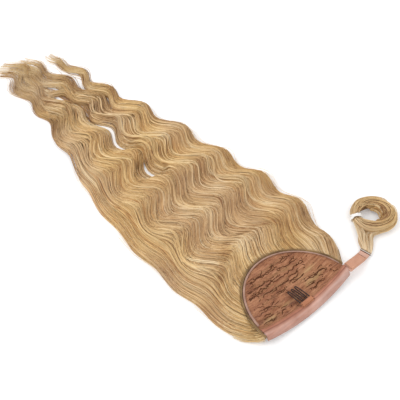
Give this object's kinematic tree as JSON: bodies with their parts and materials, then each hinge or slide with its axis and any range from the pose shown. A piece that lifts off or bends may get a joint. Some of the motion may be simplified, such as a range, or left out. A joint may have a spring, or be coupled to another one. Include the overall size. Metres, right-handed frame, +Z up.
{
  "type": "ponytail hairpiece",
  "caption": "Long waved blonde ponytail hairpiece lying inside up: weft cap with sewn comb, fabric front band, wrap strap and a coiled wrap lock.",
  "frame": {"origin": "on the table under the middle of the cap, on the hair's flat underside", "axes": "+Z up from the table, +Y from the cap to the hair's tips, +X along the cap's front edge towards the wrap strap"},
  "size_m": [0.2614, 0.5278, 0.0217],
  "materials": {
    "hair": "long waved fibre in mixed honey and pale blonde, soft sheen",
    "net": "fine brown-pink net over weft rows, matte, with dark brown thread",
    "olive_tape": "rolled olive-brown tape, satin",
    "pink_tape": "woven dusty-pink tape, soft satin",
    "hook_tape": "orange-pink tape, matte",
    "comb_wire": "wire with dark brown coating, semi-gloss",
    "elastic": "translucent white, soft sheen"
  },
  "bodies": {
    "root": {"hair_fall": "hair", "weft_cap": "net", "rim_tape": "pink_tape", "edge_binding": "olive_tape", "front_band": "pink_tape", "comb": "comb_wire", "comb_tab": "hook_tape", "wrap_strap": "pink_tape", "hook_patch": "hook_tape", "lock_weft": "olive_tape", "wrap_lock": "hair", "lock_tie": "elastic"}
  },
  "joints": []
}
